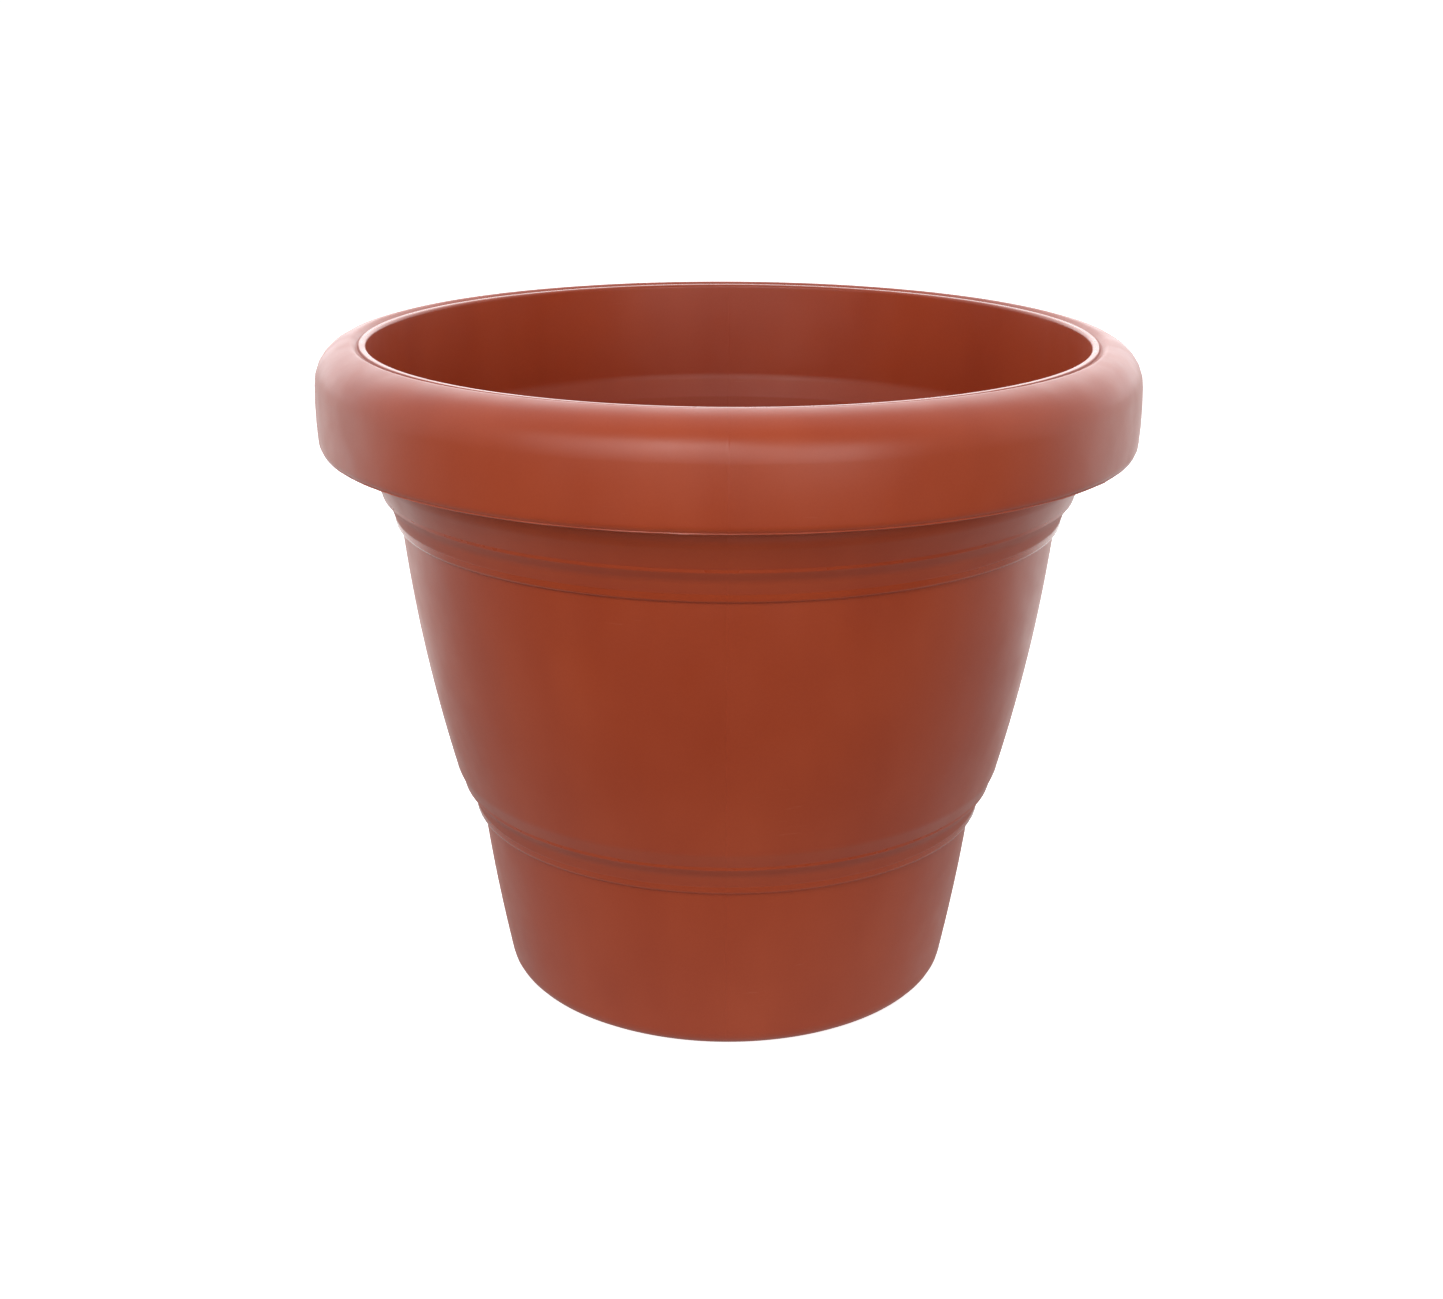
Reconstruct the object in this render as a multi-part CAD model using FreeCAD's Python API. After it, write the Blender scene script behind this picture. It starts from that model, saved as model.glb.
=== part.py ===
import FreeCAD, Part

import math
import os

# Moulded plastic planter with a rolled rim, and the stoppers of its four drain holes.
# Millimetres. The origin is the centre of the foot on the ground, +Z is up through the mouth.

# ---- Driving dimensions: whole pot ----
POT_HEIGHT = 328.0          # ground to the lip, the level land round the mouth
RIM_RADIUS = 200.3          # outside of the rolled rim; its draft leaves 200 at the widest
FOOT_RADIUS = 113.6         # where the line of the lower wall meets the ground
WALL = 3.0                  # moulded wall, measured level

# ---- Rolled rim: a skirt that is hollow and open underneath ----
RIM_WIDTH = 25.3            # from the mouth to the outside of the rim
LAND_WIDTH = 5.0            # flat land round the mouth
CREST_RISE = 1.8            # the crest of the roll stands this much above the land
CREST_SLOPE = 2.2           # width of the slope from the land up to the crest
CREST_ROUNDING = 2.5
ROLL_FALL = 3.0             # from the crest the roll already falls this much before its corner
ROLL_RADIUS = 20.0          # outside of the roll
RIM_DEPTH = 47.8            # top of the lip to the trimmed lower edge
SKIRT_DRAFT = 0.8           # the skirt is this much narrower at its lower edge
SKIRT_CORNER = 5.0          # rounding where the skirt turns in
SKIRT_RETURN = 7.5          # how far the trimmed edge turns in
TRIM_ROUNDING = 0.3         # the edge is cut with a knife
LAND_FOOT_ROUNDING = 1.5    # where the land meets the slope up to the crest
LIP_ROUNDING = 1.2
ROOF_ROUNDING = 2.0         # inside corner where the neck meets the roof of the rim

# ---- Neck and collar behind the skirt, measured down from the top ----
NECK_DEPTH = 57.5           # the outside of the neck ends and the collar slopes in
NECK_DRAFT = 1.2            # the neck is this much narrower at its lower end
NECK_ROUNDING = 8.0
LEDGE_TOP = 52.0            # inside: the ledge begins
LEDGE_BOTTOM = 63.0         # inside: the ledge ends in a crisp corner
LEDGE_WIDTH = 4.0
LEDGE_ROUNDING = 10.0

# ---- The two moulded rings have one section: a crease, a cove, a bead and an undercut ----
RING_HEIGHT = 15.5          # undercut to crease
RING_DEPTH = 7.2            # the crease stands out this much from the foot of the bead
COVE_HEIGHT = 12.6
COVE_DEPTH = 5.7
BEAD_HEIGHT = 8.4
BEAD_DEPTH = 4.8
BEAD_ROUNDING = 6.0
COVE_ROUNDING = 4.0
EDGE_ROUNDING = 0.8         # crisp moulded edges
UNDERCUT_HEIGHT = 0.6
INNER_RING_INSET = 0.6      # the wall is this much thicker behind the upper crease
INNER_CREASE_ROUNDING = 3.0
INNER_UNDERCUT_ROUNDING = 6.0

# ---- Wall tiers ----
UPPER_RING_DROP = 86.2      # top of the lip down to the upper undercut
UPPER_RING_INSET = 11.2     # mouth to the foot of the upper bead
UPPER_UNDERCUT = 1.5        # step in from the foot of the upper bead to the wall
LOWER_RING_RISE = 89.8      # ground to the lower undercut
LOWER_RING_STEP = 0.6       # the foot of the lower bead stands out from the wall's line
LOWER_UNDERCUT = 1.6
BAND_HEIGHT = 9.5           # sloping band from the lower crease up to the belly's edge
BAND_DEPTH = 3.5
BELLY_BOW = 2.4             # how far the middle wall bellies out from straight
LOWER_DRAFT = 9.76          # degrees
LOWER_BOW = 0.8             # how far the lower wall bellies out from straight

# ---- Foot and floor ----
FOOT_ROUNDING = 10.0
FOOT_LAND = 8.0             # width of the ring that rests on the ground
FOOT_RECESS = 10.0          # the pushed-up floor is this far off the ground
FOOT_SLOPE = 4.0            # the pushed-up floor narrows by this much on its way up
FOOT_LAND_ROUNDING = 1.5
RECESS_ROUNDING = 2.0
FLOOR_EDGE_ROUNDING = 3.0
FLOOR = 3.5
SEAM_WIDTH = 3.0            # pinch-off seam across the underside, front to back
SEAM_HEIGHT = 1.2
NOTCH_WIDTH = 3.6           # where the seam line crosses the foot
NOTCH_HEIGHT = 0.8

# ---- Drain holes and their stoppers ----
DRAIN_COUNT = 4
DRAIN_FIRST_ANGLE = -45.0   # degrees from +X: the first hole is front right
DRAIN_MARGIN = 9.6          # from a stopper's brim out to the edge of the floor
DRAIN_RADIUS = 9.0
DRAIN_NAMES = ["front_right", "back_right", "back_left", "front_left"]
PLUG_GAP = 0.3              # radial clearance of a stopper in its hole
PLUG_TAPER = 0.6            # the shank is this much thinner at its tip
PLUG_REACH = 4.0            # the shank reaches this far past the floor
PLUG_BRIM = 5.0             # the brim overlaps the floor by this much
PLUG_BRIM_HEIGHT = 2.4
PLUG_WALL = 1.8
PLUG_TAB_WIDTH = 3.0
PLUG_TAB_LENGTH = 13.0
PLUG_TAB_HEIGHT = 9.0
PLUG_TAB_ROUNDING = 3.0
PLUG_BRIM_ROUNDING = 1.2
PLUG_TIP_ROUNDING = 0.8
PLUG_BORE_ROUNDING = 1.0
PLUG_EDGE_ROUNDING = 0.3

# ---- Worked-out sizes ----
MOUTH_RADIUS = RIM_RADIUS - RIM_WIDTH
DRAFT_SLOPE = math.tan(math.radians(LOWER_DRAFT))
FLOOR_TOP = FOOT_RECESS + FLOOR
LAND_INNER_RADIUS = FOOT_RADIUS - FOOT_ROUNDING - FOOT_LAND
DRAIN_PITCH_RADIUS = LAND_INNER_RADIUS - FOOT_SLOPE - DRAIN_MARGIN - PLUG_BRIM - DRAIN_RADIUS
LOWER_WALL_TOP_RADIUS = FOOT_RADIUS + DRAFT_SLOPE * LOWER_RING_RISE - LOWER_UNDERCUT
LOWER_BEAD_RADIUS = LOWER_WALL_TOP_RADIUS + LOWER_UNDERCUT + LOWER_RING_STEP
UPPER_BEAD_RADIUS = MOUTH_RADIUS - UPPER_RING_INSET
UPPER_RING_RISE = POT_HEIGHT - UPPER_RING_DROP
BELLY_TOP_RADIUS = UPPER_BEAD_RADIUS - UPPER_UNDERCUT
BELLY_BOTTOM_RADIUS = LOWER_BEAD_RADIUS + RING_DEPTH + BAND_DEPTH
BELLY_BOTTOM_RISE = LOWER_RING_RISE + RING_HEIGHT + BAND_HEIGHT


def flat_point(radius, height):
    """A point of a section that is drawn in the XZ plane."""
    return FreeCAD.Vector(radius, 0, height)


def fitted_trims(corners, points):
    """How far each rounding cuts back its two runs, made smaller where a run is too short."""
    count = len(corners)
    trims = []
    for index in range(count):
        back = points[index - 1] - points[index]
        ahead = points[(index + 1) % count] - points[index]
        half_turn = (math.pi - back.getAngle(ahead)) / 2
        trims.append(corners[index][2] * math.tan(half_turn))
    for index in range(count):
        follower = (index + 1) % count
        room = 0.98 * points[index].distanceToPoint(points[follower])
        wanted = trims[index] + trims[follower]
        if wanted > room:
            trims[index] *= room / wanted
            trims[follower] *= room / wanted
    return trims


def rounded_section(corners):
    """Closed face in the XZ plane. A corner is (radius, height, rounding, bow of the next run)."""
    count = len(corners)
    points = [flat_point(corner[0], corner[1]) for corner in corners]
    trims = fitted_trims(corners, points)
    arriving = []
    middles = []
    leaving = []
    for index in range(count):
        back = points[index - 1] - points[index]
        ahead = points[(index + 1) % count] - points[index]
        half_turn = (math.pi - back.getAngle(ahead)) / 2
        back.normalize()
        ahead.normalize()
        arriving.append(points[index] + back * trims[index])
        leaving.append(points[index] + ahead * trims[index])
        middle = points[index]
        if trims[index] > 0:
            radius = trims[index] / math.tan(half_turn)
            inward = back + ahead
            inward.normalize()
            middle = middle + inward * (radius / math.cos(half_turn) - radius)
        middles.append(middle)
    edges = []
    for index in range(count):
        if trims[index] > 0:
            edges.append(Part.Arc(arriving[index], middles[index], leaving[index]).toShape())
        start = leaving[index]
        end = arriving[(index + 1) % count]
        bow = corners[index][3]
        if bow:
            run = end - start
            outward = FreeCAD.Vector(run.z, 0, -run.x)
            outward.normalize()
            middle = (start + end) * 0.5 + outward * bow
            edges.append(Part.Arc(start, middle, end).toShape())
        else:
            edges.append(Part.LineSegment(start, end).toShape())
    return Part.Face(Part.Wire(edges))


def ring_going_up(bead_radius, undercut_height):
    """Outside corners of one moulded ring, from the foot of its bead up to its crease."""
    return [
        (bead_radius, undercut_height + UNDERCUT_HEIGHT, EDGE_ROUNDING, 0),
        (bead_radius + BEAD_DEPTH, undercut_height + BEAD_HEIGHT, BEAD_ROUNDING, 0),
        (bead_radius + COVE_DEPTH, undercut_height + COVE_HEIGHT, COVE_ROUNDING, 0),
        (bead_radius + RING_DEPTH, undercut_height + RING_HEIGHT, EDGE_ROUNDING, 0),
    ]


def foot_corners():
    """Underside of the floor, the foot and the bottom of the lower wall."""
    return [
        (0, FOOT_RECESS, 0, 0),
        (LAND_INNER_RADIUS - FOOT_SLOPE, FOOT_RECESS, RECESS_ROUNDING, 0),
        (LAND_INNER_RADIUS, 0, FOOT_LAND_ROUNDING, 0),
        (FOOT_RADIUS, 0, FOOT_ROUNDING, LOWER_BOW),
    ]


def outer_wall_corners():
    """Outside of the wall, from the lower undercut up to the roof of the rim."""
    corners = [(LOWER_WALL_TOP_RADIUS, LOWER_RING_RISE, 0, 0)]
    corners += ring_going_up(LOWER_BEAD_RADIUS, LOWER_RING_RISE)
    corners.append((BELLY_BOTTOM_RADIUS, BELLY_BOTTOM_RISE, 0, BELLY_BOW))
    corners.append((BELLY_TOP_RADIUS, UPPER_RING_RISE, 0, 0))
    corners += ring_going_up(UPPER_BEAD_RADIUS, UPPER_RING_RISE)
    neck_top_radius = MOUTH_RADIUS + WALL
    corners.append((neck_top_radius - NECK_DRAFT, POT_HEIGHT - NECK_DEPTH, NECK_ROUNDING, 0))
    corners.append((neck_top_radius, POT_HEIGHT - WALL, ROOF_ROUNDING, 0))
    return corners


def rim_corners():
    """Round the rim: roof, inside of the skirt, trimmed edge, outside, roll, crest, land and lip."""
    skirt_low_radius = RIM_RADIUS - SKIRT_DRAFT
    rim_bottom = POT_HEIGHT - RIM_DEPTH
    land_outer = MOUTH_RADIUS + LAND_WIDTH
    crest_radius = land_outer + CREST_SLOPE
    crest = POT_HEIGHT + CREST_RISE
    roll_top = crest - ROLL_FALL
    trimmed_radius = skirt_low_radius - SKIRT_RETURN
    return [
        (crest_radius, crest - WALL, CREST_ROUNDING, 0),
        (RIM_RADIUS - WALL, roll_top - WALL, ROLL_RADIUS - WALL, 0),
        (skirt_low_radius - WALL, rim_bottom + WALL, SKIRT_CORNER - WALL, 0),
        (trimmed_radius, rim_bottom + WALL, TRIM_ROUNDING, 0),
        (trimmed_radius, rim_bottom, TRIM_ROUNDING, 0),
        (skirt_low_radius, rim_bottom, SKIRT_CORNER, 0),
        (RIM_RADIUS, roll_top, ROLL_RADIUS, 0),
        (crest_radius, crest, CREST_ROUNDING, 0),
        (land_outer, POT_HEIGHT, LAND_FOOT_ROUNDING, 0),
        (MOUTH_RADIUS, POT_HEIGHT, LIP_ROUNDING, 0),
    ]


def inner_wall_corners():
    """Inside of the wall, from the mouth down to the centre of the floor."""
    ledge_radius = MOUTH_RADIUS - NECK_DRAFT
    foot_radius = FOOT_RADIUS + DRAFT_SLOPE * WALL - WALL
    crease_rise = UPPER_RING_RISE + RING_HEIGHT
    crease_radius = UPPER_BEAD_RADIUS + RING_DEPTH - WALL
    return [
        (ledge_radius, POT_HEIGHT - LEDGE_TOP, LEDGE_ROUNDING, 0),
        (ledge_radius - LEDGE_WIDTH, POT_HEIGHT - LEDGE_BOTTOM, EDGE_ROUNDING, 0),
        (crease_radius - INNER_RING_INSET, crease_rise, INNER_CREASE_ROUNDING, 0),
        (BELLY_TOP_RADIUS - WALL, UPPER_RING_RISE - WALL, INNER_UNDERCUT_ROUNDING, -BELLY_BOW),
        (BELLY_BOTTOM_RADIUS - WALL, BELLY_BOTTOM_RISE, 0, 0),
        (LOWER_WALL_TOP_RADIUS - WALL, LOWER_RING_RISE - WALL, INNER_UNDERCUT_ROUNDING, -LOWER_BOW),
        (foot_radius, WALL, FOOT_ROUNDING - WALL, 0),
        (LAND_INNER_RADIUS + WALL, WALL, FOOT_LAND_ROUNDING, 0),
        (LAND_INNER_RADIUS + WALL - FOOT_SLOPE, FLOOR_TOP, FLOOR_EDGE_ROUNDING, 0),
        (0, FLOOR_TOP, 0, 0),
    ]


def revolved(face):
    """Turn a section round the pot's axis."""
    return face.revolve(FreeCAD.Vector(0, 0, 0), FreeCAD.Vector(0, 0, 1), 360)


def drain_centre(index):
    """Where a drain hole meets the ground plane."""
    angle = math.radians(DRAIN_FIRST_ANGLE + index * 360 / DRAIN_COUNT)
    return FreeCAD.Vector(DRAIN_PITCH_RADIUS * math.cos(angle), DRAIN_PITCH_RADIUS * math.sin(angle), 0)


def make_pot_shell():
    """The one moulding: foot, floor, wall, rings, collar and rolled rim."""
    section = rounded_section(
        foot_corners() + outer_wall_corners() + rim_corners() + inner_wall_corners()
    )
    shell = revolved(section)

    seam_reach = LAND_INNER_RADIUS - FOOT_SLOPE / 2
    seam_corner = FreeCAD.Vector(-SEAM_WIDTH / 2, -seam_reach, FOOT_RECESS - SEAM_HEIGHT)
    seam = Part.makeBox(SEAM_WIDTH, 2 * seam_reach, SEAM_HEIGHT + FLOOR / 2, seam_corner)
    shell = shell.fuse(seam)

    notch_corner = FreeCAD.Vector(-NOTCH_WIDTH / 2, -FOOT_RADIUS - WALL, -NOTCH_HEIGHT)
    notch = Part.makeBox(NOTCH_WIDTH, 2 * (FOOT_RADIUS + WALL), 2 * NOTCH_HEIGHT, notch_corner)
    shell = shell.cut(notch)

    for index in range(DRAIN_COUNT):
        hole = Part.makeCylinder(DRAIN_RADIUS, FLOOR_TOP + WALL, drain_centre(index))
        shell = shell.cut(hole)
    return shell


def make_drain_plug():
    """One stopper on the pot's axis: a hollow tapered shank, a brim on the floor and a pull tab."""
    shank_radius = DRAIN_RADIUS - PLUG_GAP
    tip = FOOT_RECESS - PLUG_REACH
    tip_radius = shank_radius - PLUG_TAPER
    bore_radius = tip_radius - PLUG_WALL
    brim_radius = DRAIN_RADIUS + PLUG_BRIM
    brim_top = FLOOR_TOP + PLUG_BRIM_HEIGHT
    section = rounded_section([
        (0, FLOOR_TOP, 0, 0),
        (bore_radius, FLOOR_TOP, PLUG_BORE_ROUNDING, 0),
        (bore_radius, tip, PLUG_EDGE_ROUNDING, 0),
        (tip_radius, tip, PLUG_TIP_ROUNDING, 0),
        (shank_radius, FLOOR_TOP, 0, 0),
        (brim_radius, FLOOR_TOP, PLUG_EDGE_ROUNDING, 0),
        (brim_radius, brim_top, PLUG_BRIM_ROUNDING, 0),
        (0, brim_top, 0, 0),
    ])
    plug = revolved(section)

    tab_root = FLOOR_TOP + PLUG_BRIM_HEIGHT / 2
    tab_top = brim_top + PLUG_TAB_HEIGHT
    half_length = PLUG_TAB_LENGTH / 2
    tab_face = rounded_section([
        (-half_length, tab_root, 0, 0),
        (half_length, tab_root, 0, 0),
        (half_length, tab_top, PLUG_TAB_ROUNDING, 0),
        (-half_length, tab_top, PLUG_TAB_ROUNDING, 0),
    ])
    tab_face.translate(FreeCAD.Vector(0, -PLUG_TAB_WIDTH / 2, 0))
    tab = tab_face.extrude(FreeCAD.Vector(0, PLUG_TAB_WIDTH, 0))
    return plug.fuse(tab)


def placed_plug(plug, index):
    """A copy of the stopper in its drain hole, its tab turned along the hole's radius."""
    copy = plug.copy()
    turn = DRAIN_FIRST_ANGLE + index * 360 / DRAIN_COUNT
    copy.rotate(FreeCAD.Vector(0, 0, 0), FreeCAD.Vector(0, 0, 1), turn)
    copy.translate(drain_centre(index))
    return copy


def write_node(shape, name):
    """Check one solid and write it as a STEP file."""
    tidy = shape.removeSplitter()
    if len(tidy.Solids) != 1 or not tidy.isValid():
        raise RuntimeError("node " + name + " is not one valid solid")
    box = tidy.BoundBox
    size = "%.1f x %.1f x %.1f mm" % (box.XLength, box.YLength, box.ZLength)
    print(name, size, "volume %.1f cm3" % (tidy.Volume / 1000))
    tidy.Solids[0].exportStep("parts/" + name + ".step")


os.makedirs("parts", exist_ok=True)
write_node(make_pot_shell(), "pot_shell")
drain_plug = make_drain_plug()
for plug_index in range(DRAIN_COUNT):
    write_node(placed_plug(drain_plug, plug_index), "drain_plug_" + DRAIN_NAMES[plug_index])
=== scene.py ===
# %% [markdown]
# # A moulded garden pot with a rolled rim
# The object is a terracotta-coloured plastic planter, 400 mm across the rim, with four rubber
# stoppers in its drain holes. The CAD model is the fixed frame: it holds every size, and this
# lesson builds the good-looking surfaces in the same place.

# %% Load the frame
import math
from collections import namedtuple

import bmesh
import bpy
from mathutils import Matrix, Vector


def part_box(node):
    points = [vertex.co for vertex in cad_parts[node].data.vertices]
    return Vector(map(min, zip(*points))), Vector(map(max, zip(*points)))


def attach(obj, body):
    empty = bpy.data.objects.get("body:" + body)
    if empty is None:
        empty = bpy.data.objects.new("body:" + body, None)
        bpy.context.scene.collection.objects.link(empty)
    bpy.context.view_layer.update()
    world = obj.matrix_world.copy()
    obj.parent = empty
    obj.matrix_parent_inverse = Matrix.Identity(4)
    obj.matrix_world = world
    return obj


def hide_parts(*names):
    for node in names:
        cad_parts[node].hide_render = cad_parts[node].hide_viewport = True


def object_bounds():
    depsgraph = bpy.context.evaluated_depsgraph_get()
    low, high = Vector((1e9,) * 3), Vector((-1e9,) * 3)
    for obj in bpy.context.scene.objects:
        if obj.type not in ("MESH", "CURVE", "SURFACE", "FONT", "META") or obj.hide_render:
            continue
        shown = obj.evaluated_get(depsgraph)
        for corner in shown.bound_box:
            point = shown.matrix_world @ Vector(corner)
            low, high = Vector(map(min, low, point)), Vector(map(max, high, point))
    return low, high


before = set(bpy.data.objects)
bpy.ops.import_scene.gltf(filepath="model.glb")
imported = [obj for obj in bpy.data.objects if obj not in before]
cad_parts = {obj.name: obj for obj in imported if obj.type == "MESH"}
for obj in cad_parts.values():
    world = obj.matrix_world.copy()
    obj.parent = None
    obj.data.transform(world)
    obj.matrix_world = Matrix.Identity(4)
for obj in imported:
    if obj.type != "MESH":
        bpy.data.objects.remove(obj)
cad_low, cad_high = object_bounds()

MM = 0.001
scene = bpy.context.scene
print("CAD box:", [round(v / MM, 1) for v in cad_low], [round(v / MM, 1) for v in cad_high])

# %% [markdown]
# ## Camera
# The pot is seen from a little above, so that the mouth shows as an open oval and the inside of the
# far wall can be read. A normal lens from about a metre away keeps the rim's oval natural; a long
# lens would flatten it. The camera is turned by its own tilt, a touch of pan and a touch of roll,
# which one matrix product states more plainly than a tracking target.

# %% Place the camera
CAMERA_PLACE = Vector((0, -0.9531, 0.4858))
CAMERA_TILT = math.radians(90 - 18.52)
CAMERA_PAN = math.radians(0.18)
CAMERA_ROLL = math.radians(0.21)
camera_data = bpy.data.cameras.new("camera")
camera_data.lens = 48.73
camera_data.sensor_width = 36
camera = bpy.data.objects.new("camera", camera_data)
scene.collection.objects.link(camera)
camera_turn = (
    Matrix.Rotation(CAMERA_PAN, 4, "Z")
    @ Matrix.Rotation(CAMERA_TILT, 4, "X")
    @ Matrix.Rotation(CAMERA_ROLL, 4, "Z")
)
camera.matrix_world = Matrix.Translation(CAMERA_PLACE) @ camera_turn
scene.camera = camera
print("camera stands", round(CAMERA_PLACE.length, 3), "m from the middle of the foot")

# %% [markdown]
# ## Small helpers for node trees
# Materials and Geometry Nodes are both built in code. Three helpers keep the trees readable: one
# adds a node with its settings and its unlinked values, one joins sockets, and one writes a maths
# step as if it were a function.

# %% Helpers for nodes
def add_node(tree, kind, values=None, **settings):
    """A new node. values are written to its inputs, by name or by index."""
    made = tree.nodes.new(kind)
    for setting, value in settings.items():
        setattr(made, setting, value)
    for key, value in (values or {}).items():
        feed(tree, made.inputs[key], value)
    return made


def feed(tree, socket, value):
    """Give an input either a link from another socket or a plain value."""
    if isinstance(value, bpy.types.NodeSocket):
        tree.links.new(value, socket)
    else:
        socket.default_value = value


def maths(tree, operation, first, second=0.0, third=0.0, clamp=False):
    """One maths node, as a socket."""
    made = add_node(tree, "ShaderNodeMath", {0: first, 1: second, 2: third},
                    operation=operation, use_clamp=clamp)
    return made.outputs[0]


def remap(tree, value, low, high, to_low, to_high, smooth=False):
    """A Map Range node, as a socket."""
    made = add_node(tree, "ShaderNodeMapRange",
                    {0: value, 1: low, 2: high, 3: to_low, 4: to_high},
                    interpolation_type="SMOOTHSTEP" if smooth else "LINEAR")
    return made.outputs[0]


# %% [markdown]
# ## The studio
# Such a pot is shown on white with soft light. Three soft boxes stand low in front, left, middle and
# right, and a small one above them gives the rolled rim its broad, dull highlight. The rest is a
# white tent round the sides, with a strongly lit backdrop, which the satin plastic mirrors only where
# it is seen edge-on. The front stays dark, so the colour stays deep in the middle. The tent is the
# world shader, two smooth steps of the direction; a modelled tent would do no more. The camera sees
# the tent a little brighter than white, so that its cool tint doesn't show behind the pot.

# %% Light tent
TENT_ALL_ROUND = 0.035
TENT_SIDES = 1.0
TENT_BACK = 1.9
TENT_SEEN = 1.1
tent = bpy.data.worlds.new("light_tent")
tent.use_nodes = True
scene.world = tent
sky = tent.node_tree
sky.nodes.clear()
direction = add_node(sky, "ShaderNodeTexCoord").outputs["Generated"]
toward = add_node(sky, "ShaderNodeSeparateXYZ", {0: direction})
round_about = remap(sky, toward.outputs["Y"], -0.70, 0.10, 0, 1, smooth=True)
behind = remap(sky, toward.outputs["Y"], 0.28, 0.82, 0, 1, smooth=True)
walls = maths(sky, "MULTIPLY_ADD", round_about, TENT_SIDES, TENT_ALL_ROUND)
shell = maths(sky, "MULTIPLY_ADD", behind, TENT_BACK, walls)
ray = add_node(sky, "ShaderNodeLightPath").outputs["Is Camera Ray"]
level = add_node(sky, "ShaderNodeMix", {0: ray, 2: shell, 3: TENT_SEEN})
tent_light = add_node(sky, "ShaderNodeBackground",
                      {"Color": (0.93, 0.97, 1.0, 1), "Strength": level.outputs[0]})
add_node(sky, "ShaderNodeOutputWorld", {"Surface": tent_light.outputs[0]})

# %% Floor
FLOOR_SIZE = 60.0
FLOOR_SEEN = 0.80
FLOOR_NEAR = 0.08
FLOOR_FRONT = 0.14
FLOOR_SIDES = 0.50
FLOOR_BACK = 0.9
floor_data = bpy.data.meshes.new("studio_floor")
half = FLOOR_SIZE / 2
floor_data.from_pydata([(-half, -half, 0), (half, -half, 0), (half, half, 0), (-half, half, 0)],
                       [], [(0, 1, 2, 3)])
studio_floor = bpy.data.objects.new("studio_floor", floor_data)
scene.collection.objects.link(studio_floor)
studio_floor.location.z = cad_low.z - 0.02 * MM

floor_paint = bpy.data.materials.new("white_studio_floor")
floor_paint.use_nodes = True
paint = floor_paint.node_tree
paint.nodes.clear()
spot_on_floor = add_node(paint, "ShaderNodeTexCoord").outputs["Object"]
floor_parts = add_node(paint, "ShaderNodeSeparateXYZ", {0: spot_on_floor})
floor_reach = add_node(paint, "ShaderNodeVectorMath", {0: spot_on_floor}, operation="LENGTH")
from_pot = floor_reach.outputs["Value"]
beside = remap(paint, floor_parts.outputs["Y"], -0.35, 0.05, FLOOR_FRONT, FLOOR_SIDES, smooth=True)
under_pot = remap(paint, from_pot, 0.16, 0.34, FLOOR_NEAR, 0, smooth=True)
far_back = remap(paint, floor_parts.outputs["Y"], 0.05, 0.45, 0, FLOOR_BACK, smooth=True)
bounce = maths(paint, "ADD", maths(paint, "ADD", beside, under_pot), far_back)
lit = add_node(paint, "ShaderNodeBsdfDiffuse", {"Color": (0.8, 0.8, 0.8, 1)})
glow = add_node(paint, "ShaderNodeEmission", {"Color": (1, 1, 1, 1), "Strength": FLOOR_SEEN})
seen = add_node(paint, "ShaderNodeAddShader", {0: lit.outputs[0], 1: glow.outputs[0]})
dim = add_node(paint, "ShaderNodeEmission", {"Color": (1, 1, 1, 1), "Strength": bounce})
ray = add_node(paint, "ShaderNodeLightPath").outputs["Is Camera Ray"]
either = add_node(paint, "ShaderNodeMixShader", {0: ray, 1: dim.outputs[0], 2: seen.outputs[0]})
add_node(paint, "ShaderNodeOutputMaterial", {"Surface": either.outputs[0]})
floor_data.materials.append(floor_paint)
print("floor at", round(studio_floor.location.z / MM, 2), "mm")

# %% Soft boxes
def add_softbox(name, azimuth, elevation, width, height, power):
    """An area light that faces the pot. azimuth 0 is straight in front, and grows to the right."""
    data = bpy.data.lights.new(name, "AREA")
    data.shape = "RECTANGLE"
    data.size = width
    data.size_y = height
    data.energy = power
    lamp = bpy.data.objects.new(name, data)
    pot_middle = (cad_low + cad_high) / 2
    swing = Matrix.Rotation(math.radians(azimuth), 3, "Z")
    aim = swing @ Matrix.Rotation(math.radians(-elevation), 3, "X")
    away = aim @ Vector((0, -1, 0))
    lamp.location = pot_middle + SOFTBOX_DISTANCE * away
    lamp.rotation_mode = "QUATERNION"
    lamp.rotation_quaternion = away.to_track_quat("Z", "Y")
    lamp.visible_camera = False
    scene.collection.objects.link(lamp)
    print(name, [round(v, 2) for v in lamp.location])


SOFTBOX_DISTANCE = 1.75
add_softbox("left_soft_box", -32, 22, 1.10, 0.90, 7.0)
add_softbox("middle_soft_box", -7, 20, 0.90, 0.90, 6.0)
add_softbox("right_soft_box", 24, 15, 0.80, 0.80, 8.0)
add_softbox("rim_soft_box", -12, 33, 0.60, 0.35, 3.0)
scene.view_settings.view_transform = "Standard"

# %% [markdown]
# ## The section of the pot
# The whole pot is one moulding, so one outline turned about the axis makes it: floor, foot, wall,
# rings, collar and the rolled rim that is hollow underneath. The outline is a list of corners, each
# with the rounding of the corner and what follows it: how far the next run bellies out, how
# polished the mould was there, and whether a knife cut it. Corners are easier to read and to change
# than a long list of points; a short function turns them into the smooth line.

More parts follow.
